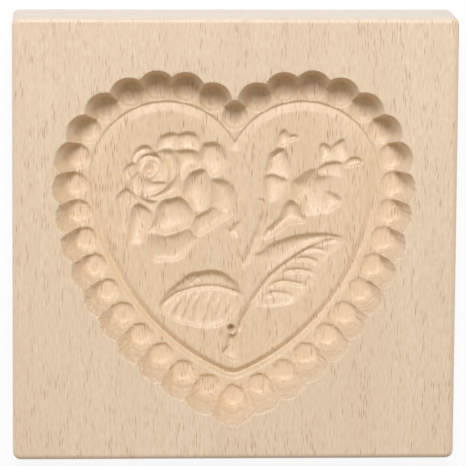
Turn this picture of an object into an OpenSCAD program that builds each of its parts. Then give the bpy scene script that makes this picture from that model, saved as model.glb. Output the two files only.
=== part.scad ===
// Wooden cookie mould: a square block with a scalloped heart and a rose spray cut into its face.
// It lies on its flat back with the carved face up. Sizes in mm, +Y towards the lobes of the heart.

/* [Block] */
// Width of the block, across the grain
block_w = 120; // [112:1:135]
// Height of the block, along the grain
block_h = 121; // [112:1:135]
// Thickness of the block
block_t = 20; // [16:0.5:30]
// Radius of the four upright corners
corner_r = 2.2; // [1:0.1:5]
// Radius of the rounded edges round both faces
edge_r = 1.6; // [0.5:0.1:3]

/* [Heart] */
// Sideways place of the heart on the block
heart_x = 0.2; // [-2:0.1:2]
// Half the distance between the centres of the two lobes, on the line of the bowl centres
lobe_x = 18.5; // [17:0.1:20]
// Height of the lobe centres above the middle of the block
lobe_y = 15.8; // [12:0.1:18]
// Radius of the lobes, on the line of the bowl centres
lobe_r = 25.1; // [24:0.1:27]
// Radius of the long flanks down to the tip
flank_r = 66.7; // [60:0.1:75]
// Angle below the level at which a lobe passes into its flank
flank_a = 2.9; // [0:0.1:8]
// Depth of the flat field and of the ridge round it, below the face
field_d = 8.5; // [6:0.1:10]
// Distance of the field edge inside the line of the bowl centres
field_in = 6.85; // [6.2:0.05:8]
// How much further the cleft cuts into the field
cleft_in = 2.9; // [1:0.1:4]

/* [Scallops] */
// Steps between bowls on one half of the heart
steps = 18; // [14:1:22]
// Radius of a bowl at the level of the ridge, at the cleft
bowl_top = 3.5; // [3:0.05:3.9]
// Radius of a bowl at the level of the ridge, at the tip
bowl_tip = 3.1; // [2.4:0.05:3.4]
// Distance of the inner edge of a bowl inside the line of the bowl centres, at the cleft
edge_top = 3.85; // [3.5:0.05:4]
// Distance of the inner edge of a bowl inside that line, at the tip
edge_tip = 3.3; // [3:0.05:3.9]
// Depth of the dish below the ridge, at the cleft
dish_top = 1.5; // [0.5:0.1:2.5]
// Depth of the dish below the ridge, at the tip
dish_tip = 0.8; // [0.5:0.1:2.5]
// Radius of a scallop at the face, at the cleft
flare_top = 5.3; // [4.6:0.1:6]
// Radius of a scallop at the face, at the tip
flare_tip = 6.5; // [5:0.1:7.5]

/* [Groove] */
// Width of the groove round the field
groove_w = 2.7; // [1.5:0.1:2.9]
// Depth of the groove below the field
groove_d = 0.8; // [0.4:0.1:2]

/* [Spray] */
// Size of the spray against the carved one
spray_s = 1; // [0.85:0.01:1.04]
// Sideways place of the spray
spray_x = 0.1; // [-1:0.1:1]
// Up and down place of the spray
spray_y = -0.4; // [-1:0.1:1]
// Depth of the cuts against the carved ones
relief = 1; // [0.6:0.05:1.4]
// Radius of the small hole beside the lower leaf
hole_r = 0.8; // [0.5:0.05:1]
// Depth of that hole below the field
hole_d = 2.6; // [1:0.1:3]

/* [Hidden] */
$fn = 96;
beech = [0.87, 0.76, 0.63];
field_z = block_t - field_d;
above = 1;
hollow_fn = 160;
hollow_h = 8;
lobe_steps = 36;
flank_steps = 24;
dish_steps = 6;
flank_x = lobe_x - (flank_r - lobe_r) * cos(flank_a);
flank_y = lobe_y + (flank_r - lobe_r) * sin(flank_a);
cleft_a = acos(-lobe_x / lobe_r);
tip_a = acos(-flank_x / flank_r);
cleft_y = lobe_y + lobe_r * sin(cleft_a);
lobe_len = lobe_r * (cleft_a + flank_a) * PI / 180;
half_len = lobe_len + flank_r * (tip_a - flank_a) * PI / 180;

// Points on a lobe and on a flank, at an angle, a set way inside the line of the bowl centres
function on_lobe(a, inset) = [lobe_x, lobe_y] + (lobe_r - inset) * [cos(a), sin(a)];
function on_flank(a, inset) = [flank_x, flank_y] + (flank_r - inset) * [cos(a), sin(a)];
// Outward angle and point on the line of the scallops, a way s from the cleft down the right half
function aim(s) = s < lobe_len ? cleft_a - s / lobe_r * 180 / PI
    : -flank_a - (s - lobe_len) / flank_r * 180 / PI;
function along(s) = s < lobe_len ? on_lobe(aim(s), 0) : on_flank(aim(s), 0);

// Smooth closed line through hand-set points, three short steps from one to the next
function knot(p, i) = p[(i + len(p)) % len(p)];
function bend(a, b, c, d, t) = b + (c - a) * t / 2 + (2 * a - 5 * b + 4 * c - d) * t * t / 2
    + (3 * b - a - 3 * c + d) * t * t * t / 2;
function smooth(p) = [for (i = [0:len(p) - 1], t = [0:1 / 3:0.9])
    bend(knot(p, i - 1), knot(p, i), knot(p, i + 1), knot(p, i + 2), t)];

// Cuts of the spray: depth, radius of the hollow, its deepest point, outline
rose = [
    [1.9, 14, [-19, 29.8], [[-21.7, 23.2], [-21.4, 25.6], [-20.2, 27.7], [-17.5, 28.7], [-15.6, 28.2],
        [-15, 26], [-15.4, 23], [-18, 22.5]]],
    [1.9, 14, [-12.6, 30], [[-16.2, 28], [-15.4, 28.3], [-12.6, 29], [-10.2, 28], [-9.2, 25.8],
        [-9.8, 23.4], [-13, 22.5], [-16, 23]]],
    [2.3, 26, [-18, 24], [[-21.6, 22.8], [-20.2, 24.3], [-18.8, 24.8], [-15.9, 23.9], [-14.6, 20],
        [-15.5, 16], [-17.5, 13.5], [-19, 18]]],
    [2.5, 16, [-13.8, 24], [[-16.6, 23.6], [-15.9, 23.9], [-13.4, 24.5], [-10.4, 23.8], [-9, 21.5],
        [-9.3, 19.2], [-12.5, 17.4], [-14.6, 13.2], [-16, 15]]],
    [1.3, 12, [-24.4, 25.2], [[-28.2, 21.5], [-27.4, 23.4], [-25.8, 24.9], [-24, 25.2], [-22.4, 24.3],
        [-22, 22.5], [-25, 21], [-27.5, 20]]],
    [1.7, 25, [-23.5, 23.8], [[-26.5, 21.5], [-25.2, 23.1], [-23.3, 23.8], [-21.6, 23.3], [-20, 22.8],
        [-18.5, 21], [-17.5, 18.5], [-17, 16], [-19, 14], [-22, 13.5], [-25.5, 15], [-26.8, 18]]],
    [1.9, 12, [-22.8, 21], [[-25.7, 18.2], [-25.5, 20.5], [-24.4, 21.7], [-22.5, 22], [-20.5, 21.3],
        [-19.8, 19.6], [-20.3, 17.6], [-21.6, 16.4], [-23.6, 16.3], [-25, 17]]],
    [1.4, 9.5, [-22.4, 15.9], [[-26.4, 14.6], [-26.1, 16.9], [-24.9, 16], [-22.9, 15.6], [-20.2, 15.2],
        [-18.4, 14.9], [-18.6, 13.6], [-20.2, 12.5], [-22.6, 11.4], [-24.6, 11.3], [-26, 12.4]]],
    [1.1, 14, [-29, 20], [[-30.5, 17.5], [-30, 18.9], [-28.3, 20.3], [-26.8, 20], [-26.5, 16],
        [-27, 12], [-28.8, 11], [-29.3, 14.5]]],
    [1.5, 14, [-27, 17.8], [[-29, 15.2], [-28, 17], [-26.4, 18], [-25.6, 16.9], [-25.5, 13],
        [-26.5, 11.5], [-28.5, 12]]],
    [2.2, 12, [-18.3, 15.4], [[-25, 11], [-22.3, 11.5], [-19.9, 12.8], [-17.8, 15], [-16.3, 17.3],
        [-15.7, 19.3], [-14.5, 17.5], [-14.3, 14], [-14.8, 12], [-16, 11], [-19, 10.2], [-22.5, 10.1]]],
    [1.2, 8, [-23.6, 10.4], [[-26.8, 11.8], [-24.9, 10.6], [-22.5, 10], [-20.9, 9.7], [-21.5, 7.5],
        [-22.2, 5.5], [-23.5, 7.5], [-25.5, 9.4]]],
    [2.1, 22, [-27, 7], [[-28, 7.8], [-26.3, 9.2], [-24, 8.6], [-22, 6.5], [-22.6, 3], [-24, 1],
        [-25.1, -2.3], [-28.5, -1.6], [-29, 3]]],
    [1.2, 60, [-30.3, 13.2], [[-32.4, 10], [-31.3, 12.2], [-29.5, 13.4], [-27.5, 12.5], [-26.5, 10.8],
        [-26.5, 9.6], [-28.2, 8], [-28.8, 3], [-29.2, -0.5], [-31.4, 2.5], [-31.5, 6]]],
    [2.1, 24, [-6.6, 25], [[-9.1, 25.1], [-7, 26], [-5, 26], [-3.6, 25], [-2.4, 23], [-1.9, 20.5],
        [-3.4, 17.6], [-6, 16.2], [-9, 18.7], [-10.5, 20.5]]],
    [2.5, 15, [-12, 15], [[-14.4, 11.5], [-13.8, 15], [-12.4, 17.4], [-10.5, 18.4], [-8.2, 18.9],
        [-6.9, 18], [-6.6, 14], [-6.7, 10.5], [-7.4, 8], [-9.5, 6.5], [-11.2, 7.2], [-12.7, 9.5]]],
    [1.8, 36, [-2.4, 13], [[-6.6, 15.4], [-4, 16], [-2, 15.4], [-0.7, 14], [0.4, 11.4], [0.2, 8],
        [-0.9, 5.6], [-4, 5], [-6.5, 8], [-6.8, 10]]],
    [1.4, 40, [-7.5, 4.5], [[0, 7], [-0.9, 5.6], [-4.5, 3.3], [-9.6, 0.1], [-11.5, 2.5], [-11, 5],
        [-9.5, 6.2], [-7.6, 7.2], [-6, 8.5], [-3, 8]]],
    [2.5, 20, [-18, 8.4], [[-21.8, 5.5], [-21.2, 8.2], [-19.4, 10.3], [-17.5, 10.7], [-15.6, 11.2],
        [-13.8, 10.5], [-12, 8.7], [-11, 6.2], [-11.5, 4], [-13, 2.4], [-16, 1.2], [-18.8, 0.4],
        [-21.5, 1.2], [-24.3, 0.9], [-23, 3]]],
    [1.2, 14, [-20.4, -5], [[-24.2, 1.1], [-21.5, 0.8], [-18.8, 0.2], [-16.5, 0.6], [-15.8, -2.5],
        [-16.2, -6.5], [-18.5, -6.9], [-22.3, -6.8], [-24, -3]]],
    [1.2, 14, [-14.6, -3.2], [[-19.5, 0.3], [-18.8, 0.2], [-15.5, 1], [-12.5, 2.4], [-10.5, 0.5],
        [-9.7, -0.6], [-11.5, -2.8], [-14.3, -6], [-18.5, -6.9], [-19.5, -3]]],
];
buds = [
    [1.9, 16, [10.6, 23], [[8, 17.5], [8.3, 20], [9, 22.3], [10.5, 23.7], [12.2, 24.5], [13.9, 23.7],
        [15, 21.4], [15.4, 18.5], [14.8, 16], [12.8, 15.8], [9.5, 16.5]]],
    [1.9, 17, [9.8, 17.4], [[7.6, 15.2], [8.2, 16.8], [9.6, 17.6], [11.2, 17.5], [12.6, 16.7],
        [14.4, 15.4], [14, 13.6], [12.3, 11], [10.8, 9], [9.3, 9], [8, 12]]],
    [1.3, 9, [13.3, 29], [[11.4, 24.6], [11.3, 27], [12.2, 28.8], [13.5, 29.5], [14.5, 28.6],
        [15.2, 27.2], [14.6, 25.6], [13, 24.6]]],
    [1.1, 4, [15.9, 27.9], [[14.2, 27.2], [15, 27.9], [16.2, 28.1], [17.4, 27.4], [16.9, 26.6],
        [15.5, 26.2], [14.4, 26.4]]],
    [1.7, 8, [7, 10.4], [[6, 10.2], [6.8, 10.6], [7.9, 10.1], [8.6, 8.6], [9, 6.5], [8.2, 5.5],
        [7.4, 8.2], [6.9, 9.4]]],
    [1.5, 9, [24, 25.6], [[22.6, 23.5], [22.8, 25], [23.8, 25.8], [25.2, 25.3], [26.4, 24.1],
        [26.6, 22], [24.5, 20.6], [23, 21]]],
    [1.5, 12, [29, 26.6], [[26, 24.4], [27.2, 25.8], [28.6, 26.7], [29.8, 26.7], [30.4, 25], [30.9, 23],
        [30.5, 21.3], [28.5, 20.5], [26.2, 21.5]]],
    [1.1, 9, [32.8, 21.8], [[30.6, 21.2], [31.8, 21.9], [33.2, 21.9], [34.4, 21.2], [35.1, 20.2],
        [33, 19.3], [30.5, 18.8], [29.2, 19.5]]],
    [1.3, 12, [25.5, 20.6], [[22.2, 18], [23, 19.3], [24.8, 20.3], [27, 20.7], [28.9, 20.4], [29.6, 19],
        [29.8, 16], [27.5, 15.5], [24, 16]]],
    [2.4, 24, [18, 15.6], [[15, 13], [15.3, 15.2], [17, 16.4], [19, 17.8], [20.8, 18.8], [22.2, 18.4],
        [23, 17.2], [24.4, 17.6], [26.8, 18.1], [28.6, 19.4], [29.6, 18], [29.8, 14.5], [29.4, 10.4],
        [28.6, 8.6], [26, 6.6], [24, 4.9], [20.5, 4.8], [18.2, 6], [17.5, 8.8], [15.8, 10]]],
    [1.7, 14, [26, 12.8], [[23.6, 12.9], [25.2, 13.3], [27, 12.4], [29.2, 10.2], [28.6, 8.6], [26, 6.6],
        [24, 5.2], [22.5, 8]]],
];
stems = [
    [1.3, 7, [1.2, 4], [[-3, 3.1], [-1.9, 2.5], [-1.4, 1.5], [0, 3.1], [1.7, 4.2], [1.6, 3], [1.2, 0.5],
        [1.8, -3.5], [3, -7.5], [2, -7.5], [0.2, -4], [-0.9, -0.5], [-2, 1.5]]],
    [1, 40, [3, 1], [[9.2, 10], [10.9, 9.6], [9.6, 4.6], [7.6, -1], [5.8, -4.5], [4.2, -8], [2.5, -7.8],
        [3.6, -5], [4.6, -2], [5.7, 1.5], [6.6, 5]]],
    [2.2, 26, [12.5, 8], [[12.7, 7], [13.5, 8.9], [15.3, 10.2], [17.2, 9], [18.3, 7], [19.4, 5],
        [18.8, 3.6], [15, 3.2], [12, 0.8], [9, -0.9], [6, -3.2], [4.6, -4.2], [5.6, -2], [7, 0],
        [8.6, 2.2], [10.6, 3.9], [12, 5.4]]],
    [2, 45, [-4, -27], [[5.2, -17.5], [4.3, -18.8], [2.9, -20.8], [1.8, -23.2], [1, -25.3],
        [0.4, -26.7], [-0.5, -27.2], [-1.5, -27], [-1.7, -28.5], [-2, -30.3], [-3.4, -32.4],
        [-1.5, -34], [1.2, -34.4], [2, -32], [2.4, -28.5], [3.4, -24.5], [4.6, -21.3], [6, -18.5]]],
];
leaves = [
    [2.1, 130, [17, 9], [[5.1, -5], [7.3, -4], [9.7, -1.9], [13.2, -0.5], [16.6, 0.5], [20.7, 1.1],
        [26.7, 0.9], [30.4, -1.1], [26, -1], [20.7, -3.1], [17.9, -4.6], [15.2, -6.4], [12.5, -8.4],
        [10.4, -10.2], [8.7, -12], [6.7, -15], [4.6, -17.9], [6, -14.5], [7.2, -11], [6.5, -8]]],
    [1.5, 110, [13, -3], [[30.3, -1.2], [26.5, -0.6], [20.7, -2.5], [17.9, -4], [15.2, -5.8],
        [12.5, -7.8], [10.4, -9.6], [8.7, -11.4], [6.7, -14.4], [5.3, -16.5], [3.6, -19.2],
        [7.5, -19.7], [12.5, -19.4], [16.5, -18.3], [18.8, -15.8], [21.6, -13], [23.5, -8],
        [27, -4.5]]],
    [2.2, 150, [-9, -4], [[-20.7, -19.2], [-19.8, -17.3], [-18, -14.8], [-15.5, -12.7], [-12.6, -10.3],
        [-10, -9.6], [-6, -9.1], [-3.2, -9.7], [-1, -11.1], [0.8, -12.8], [2, -15.6], [1.8, -18.6],
        [0.5, -21.5], [-2, -24], [-5, -25.3], [-9, -25.4], [-13.5, -24.3], [-17, -23.2], [-20, -21]]],
];
hole_at = [-0.8, -25.4];

module rounded(w, h, r) {
    square([w - 2 * r, h], center = true);
    square([w, h - 2 * r], center = true);
    for (x = [-1, 1], y = [-1, 1])
        translate([x * (w / 2 - r), y * (h / 2 - r)])
            circle(r);
}

module blank() {
    intersection() {
        linear_extrude(block_t)
            rounded(block_w, block_h, corner_r);
        translate([0, block_h, block_t / 2])
            rotate([90, 0, 0])
                linear_extrude(2 * block_h)
                    rounded(block_w, block_t, edge_r);
        translate([-block_w, 0, block_t / 2])
            rotate([90, 0, 90])
                linear_extrude(2 * block_w)
                    rounded(block_h, block_t, edge_r);
    }
}

// Right half of the heart, a set way inside the line of the bowl centres, from cleft to tip. The lobe runs
// on past its start to the middle, or until it is cleft_in further away from the cleft than the set way.
function side(inset) = let (
        low = acos(-flank_x / (flank_r - inset)),
        r = lobe_r - inset,
        spread = acos((lobe_r * lobe_r + r * r - pow(inset + cleft_in, 2)) / (2 * lobe_r * r)),
        middle = lobe_x < r ? acos(-lobe_x / r) : 180,
        blunt = inset > 0 && cleft_a + spread < middle - 0.5,
        start = blunt ? cleft_a + spread : middle)
    concat(
        blunt ? [[0, cleft_y - inset - cleft_in]] : [],
        [for (i = [0:lobe_steps]) on_lobe(start - (start + flank_a) * i / lobe_steps, inset)],
        [for (i = [1:flank_steps]) on_flank(-flank_a - (low - flank_a) * i / flank_steps, inset)]);

module heart(inset) {
    half = side(inset);
    back = [for (i = [len(half) - 2:-1:1]) [-half[i][0], half[i][1]]];
    polygon(concat(half, back));
}

// One scallop, open towards +X: a shallow round dish, and a cone above it that leans out to the face
module scallop(bowl, dish, flare, shift) {
    lean = atan(shift / field_d);
    rise = field_d / cos(lean);
    top = rise + 1.5 * above;
    curve = [for (i = [0:dish_steps]) let (part = 1 - pow(1 - i / dish_steps, 2))
        [bowl * part, -dish * (1 - pow(part, 6))]];
    translate([-shift, 0, 0])
        rotate([0, lean, 0])
            rotate_extrude()
                polygon(concat(curve, [[bowl + (flare - bowl) * top / rise, top], [0, top]]));
}

module border() {
    for (i = [0:steps], m = [0, 1])
        if (m == 0 || (i > 0 && i < steps)) {
            part = i / steps;
            out = i == 0 ? 90 : i == steps ? -90 : aim(half_len * part);
            bowl = bowl_top + (bowl_tip - bowl_top) * part;
            edge = edge_top + (edge_tip - edge_top) * pow(part, 3);
            mirror([m, 0, 0])
                translate(concat(along(half_len * part), field_z))
                    rotate([0, 0, out])
                        scallop(bowl, dish_top + (dish_tip - dish_top) * part,
                            flare_top + (flare_tip - flare_top) * pow(part, 3), edge - bowl);
        }
}

module cuts(list) {
    for (c = list) {
        d = c[0] * relief;
        intersection() {
            linear_extrude(hollow_h, center = true)
                polygon(smooth(c[3]));
            translate([c[2][0], c[2][1], c[1] - d])
                sphere(c[1], $fn = hollow_fn);
        }
    }
}

module spray() {
    translate([spray_x, spray_y, 0])
        scale(spray_s) {
            cuts(rose);
            cuts(buds);
            cuts(stems);
            cuts(leaves);
        }
    translate([spray_x + hole_at[0] * spray_s, spray_y + hole_at[1] * spray_s, -hole_d])
        cylinder(r = hole_r, h = hole_d + above);
}

module mould_block() {
    color(beech)
        difference() {
            blank();
            translate([heart_x, 0, 0]) {
                border();
                translate([0, 0, field_z])
                    linear_extrude(field_d + above)
                        heart(0);
                translate([0, 0, field_z - groove_d])
                    linear_extrude(groove_d + above)
                        difference() {
                            heart(field_in - groove_w);
                            heart(field_in);
                        }
                translate([0, 0, field_z])
                    spray();
            }
        }
}

mould_block();
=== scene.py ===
"""Looks of a wooden cookie mould: one block of pale beech with a scalloped heart and a rose spray.

Lengths are millimetres in the part's own frame, +Z out of the carved face and +Y towards the lobes of
the heart. They become metres when a mesh, a lamp or a material is made.
"""

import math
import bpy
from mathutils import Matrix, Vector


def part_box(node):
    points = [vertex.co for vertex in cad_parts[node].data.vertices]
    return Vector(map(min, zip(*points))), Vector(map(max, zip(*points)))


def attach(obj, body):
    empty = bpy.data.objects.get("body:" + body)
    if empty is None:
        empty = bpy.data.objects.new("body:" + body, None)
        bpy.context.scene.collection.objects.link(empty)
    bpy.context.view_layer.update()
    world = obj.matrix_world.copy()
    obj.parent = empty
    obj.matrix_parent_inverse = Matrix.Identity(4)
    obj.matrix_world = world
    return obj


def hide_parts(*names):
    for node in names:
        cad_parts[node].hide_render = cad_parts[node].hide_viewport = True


bl_info = {
    "name": "Wooden Cookie Mould",
    "version": (1, 0, 0),
    "blender": (4, 5, 0),
    "location": "View3D > Sidebar > Mould",
    "description": "Builds a carved wooden cookie mould and the stage it is pictured on",
    "category": "Object",
}

import types

import bpy
import numpy as np
from bpy.props import FloatProperty, FloatVectorProperty, IntProperty, PointerProperty
from mathutils import Matrix

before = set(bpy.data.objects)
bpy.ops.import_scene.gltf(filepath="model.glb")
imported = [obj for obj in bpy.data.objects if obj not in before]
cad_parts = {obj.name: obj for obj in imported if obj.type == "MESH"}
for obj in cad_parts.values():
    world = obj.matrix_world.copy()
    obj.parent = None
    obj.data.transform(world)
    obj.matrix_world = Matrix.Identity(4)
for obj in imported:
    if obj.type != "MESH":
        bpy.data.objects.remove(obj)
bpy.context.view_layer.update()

MM = 0.001
# Width, height and thickness of the CAD block, to 0.01 mm
CAD_W, CAD_H, CAD_T = (
    round((high - low) / MM, 2) for low, high in zip(*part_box("mould_block")))

# Steps round an upright corner and round an edge of the block
CORNER_STEPS = 8
EDGE_STEPS = 6
# About how many triangles the block is thinned to, which keeps it under the limit for one piece
MOST_TRIANGLES = 190000
# The floor lies this far below the flat back, so that the two don't lie in one plane
FLOOR_DROP = 0.02
# Share of plain white in the floor where it is seen
FLOOR_WHITE = 0.9

# Torn edges of the scallops: weight and cell size of the coarse and of the fine part
TEARS = ((0.7, 1.3), (0.8, 0.5))
# Their share grows from none at this height to the whole over this length downwards, from a least one
TORN_FROM, TORN_OVER, TORN_LEAST = 28, 25, 0.15
# Hash that gives a cell its value: factors for column and row, and for their sine
HASH_COLUMN, HASH_ROW, HASH_SINE = 12.9898, 78.233, 43758.5453
# Power of the curve of a dish, a high one for a flat middle and steep sides
DISH_POWER = 6
# Power with which the scallops widen down the heart, so that most of it comes near the tip
FLARE_POWER = 3
# How far past its rim a scallop is worked out
SCALLOP_MARGIN = 3

# Groove in the lower heart: width of its outer lip, deepest line from its inner edge, and the depths
# at the outer edge, the lip, the deepest line and the inner edge, as shares of groove_d
LOW_LIP, LOW_DEEPEST, LOW_DEPTHS = 0.6, 1.6, (0, 0.45, 1.3, 0)
# Groove along the lobes: width of its outer lip, and the depths at the outer edge, the lip and inside
HIGH_LIP, HIGH_DEPTHS = 0.35, (0, 0.6, 0)
# The lobes' groove passes into the lower one from this height over this length downwards
GROOVE_FROM, GROOVE_OVER = 25, 30

# A hollow's floor is cut this much deeper, and rounded into its wall by this share of its depth
FLOOR_EXTRA, FLOOR_ROUND = 0.1, 0.4
# How far past its outline a hollow is worked out
HOLLOW_MARGIN = 0.5
# A gouge line fades over this length to this share of its depth at both ends
VEIN_FADE, VEIN_LEAST = 1.5, 0.3
# How far the spray may cut past the inner edge of the groove
SPRAY_MARGIN = 0.3
# Share of the way from the ridge up to the face above which edges are softened once, not twice
SHARP_FROM = 0.6
# Keeps a segment of no length from dividing by zero
TINY = 1e-12

# Noise in the wood: cells per metre along X, Y and Z, and detail
BANDS = ((70, 6, 70), 3)
STREAKS = ((1200, 40, 1200), 2)
GRAIN = ((1800, 420, 1800), 2)
PATCHES = ((500, 60, 500), 1)
LAYERS = ((50, 12, 1100), 1)
# Flecks in the wood: cells per metre, and their slant against the grain
FLECK_CELLS, FLECK_SLANT = (2300, 240, 900), 0.05

# Hollows of the spray, each with its depth, the radius of its floor, its deepest point and its outline,
# at their places before heart_x, spray_x and spray_y shift them
PETALS = {
    "top_left": (1.9, 14, (-19, 29.8), [
        (-21.7, 23.2), (-21.4, 25.6), (-20.2, 27.7), (-17.5, 28.7), (-15.6, 28.2), (-15, 26),
        (-15.4, 23), (-18, 22.5)]),
    "top_right": (1.9, 14, (-12.6, 30), [
        (-16.2, 28), (-15.4, 28.3), (-12.6, 29), (-10.2, 28), (-9.2, 25.8), (-9.8, 23.4),
        (-13, 22.5), (-16, 23)]),
    "second_left": (2.3, 26, (-18, 24), [
        (-21.6, 22.8), (-20.2, 24.3), (-18.8, 24.8), (-15.9, 23.9), (-14.6, 20), (-15.5, 16),
        (-17.5, 13.5), (-19, 18)]),
    "second_right": (2.5, 16, (-13.8, 24), [
        (-16.6, 23.6), (-15.9, 23.9), (-13.4, 24.5), (-10.4, 23.8), (-9, 21.5), (-9.3, 19.2),
        (-12.5, 17.4), (-14.6, 13.2), (-16, 15)]),
    "upper_left": (1.3, 12, (-24.4, 25.2), [
        (-28.2, 21.5), (-27.4, 23.4), (-25.8, 24.9), (-24, 25.2), (-22.4, 24.3), (-22, 22.5),
        (-25, 21), (-27.5, 20)]),
    "heart_outer": (1.7, 25, (-23.5, 23.8), [
        (-26.5, 21.5), (-25.2, 23.1), (-23.3, 23.8), (-21.6, 23.3), (-20, 22.8), (-18.5, 21),
        (-17.5, 18.5), (-17, 16), (-19, 14), (-22, 13.5), (-25.5, 15), (-26.8, 18)]),
    "heart_inner": (1.9, 12, (-22.8, 21), [
        (-25.7, 18.2), (-25.5, 20.5), (-24.4, 21.7), (-22.5, 22), (-20.5, 21.3), (-19.8, 19.6),
        (-20.3, 17.6), (-21.6, 16.4), (-23.6, 16.3), (-25, 17)]),
    "cup": (1.4, 9.5, (-22.4, 15.9), [
        (-26.4, 14.6), (-26.1, 16.9), (-24.9, 16), (-22.9, 15.6), (-20.2, 15.2), (-18.4, 14.9),
        (-18.6, 13.6), (-20.2, 12.5), (-22.6, 11.4), (-24.6, 11.3), (-26, 12.4)]),
    "left_small": (1.1, 14, (-29, 20), [
        (-30.5, 17.5), (-30, 18.9), (-28.3, 20.3), (-26.8, 20), (-26.5, 16), (-27, 12), (-28.8, 11),
        (-29.3, 14.5)]),
    "left_inner": (1.5, 14, (-27, 17.8), [
        (-29, 15.2), (-28, 17), (-26.4, 18), (-25.6, 16.9), (-25.5, 13), (-26.5, 11.5), (-28.5, 12)]),
    "under_cup": (2.2, 12, (-18.3, 15.4), [
        (-25, 11), (-22.3, 11.5), (-19.9, 12.8), (-17.8, 15), (-16.3, 17.3), (-15.7, 19.3),
        (-14.5, 17.5), (-14.3, 14), (-14.8, 12), (-16, 11), (-19, 10.2), (-22.5, 10.1)]),
    "lower_middle": (1.2, 8, (-23.6, 10.4), [
        (-26.8, 11.8), (-24.9, 10.6), (-22.5, 10), (-20.9, 9.7), (-21.5, 7.5), (-22.2, 5.5),
        (-23.5, 7.5), (-25.5, 9.4)]),
    "lower_left": (2.1, 22, (-27, 7), [
        (-28, 7.8), (-26.3, 9.2), (-24, 8.6), (-22, 6.5), (-22.6, 3), (-24, 1), (-25.1, -2.3),
        (-28.5, -1.6), (-29, 3)]),
    "left_outer": (1.2, 60, (-30.3, 13.2), [
        (-32.4, 10), (-31.3, 12.2), (-29.5, 13.4), (-27.5, 12.5), (-26.5, 10.8), (-26.5, 9.6),
        (-28.2, 8), (-28.8, 3), (-29.2, -0.5), (-31.4, 2.5), (-31.5, 6)]),
    "right_top": (2.1, 24, (-6.6, 25), [
        (-9.1, 25.1), (-7, 26), (-5, 26), (-3.6, 25), (-2.4, 23), (-1.9, 20.5), (-3.4, 17.6),
        (-6, 16.2), (-9, 18.7), (-10.5, 20.5)]),
    "right_middle": (2.5, 15, (-12, 15), [
        (-14.4, 11.5), (-13.8, 15), (-12.4, 17.4), (-10.5, 18.4), (-8.2, 18.9), (-6.9, 18),
        (-6.6, 14), (-6.7, 10.5), (-7.4, 8), (-9.5, 6.5), (-11.2, 7.2), (-12.7, 9.5)]),
    "right_upper": (1.8, 36, (-2.4, 13), [
        (-6.6, 15.4), (-4, 16), (-2, 15.4), (-0.7, 14), (0.4, 11.4), (0.2, 8), (-0.9, 5.6),
        (-4, 5), (-6.5, 8), (-6.8, 10)]),
    "right_lower": (1.4, 40, (-7.5, 4.5), [
        (0, 7), (-0.9, 5.6), (-4.5, 3.3), (-9.6, 0.1), (-11.5, 2.5), (-11, 5), (-9.5, 6.2),
        (-7.6, 7.2), (-6, 8.5), (-3, 8)]),
    "lower": (2.5, 20, (-18, 8.4), [
        (-21.8, 5.5), (-21.2, 8.2), (-19.4, 10.3), (-17.5, 10.7), (-15.6, 11.2), (-13.8, 10.5),
        (-12, 8.7), (-11, 6.2), (-11.5, 4), (-13, 2.4), (-16, 1.2), (-18.8, 0.4), (-21.5, 1.2),
        (-24.3, 0.9), (-23, 3)]),
    "bottom_left": (1.2, 14, (-20.4, -5), [
        (-24.2, 1.1), (-21.5, 0.8), (-18.8, 0.2), (-16.5, 0.6), (-15.8, -2.5), (-16.2, -6.5),
        (-18.5, -6.9), (-22.3, -6.8), (-24, -3)]),
    "bottom_right": (1.2, 14, (-14.6, -3.2), [
        (-19.5, 0.3), (-18.8, 0.2), (-15.5, 1), (-12.5, 2.4), (-10.5, 0.5), (-9.7, -0.6),
        (-11.5, -2.8), (-14.3, -6), (-18.5, -6.9), (-19.5, -3)]),
}
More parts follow.
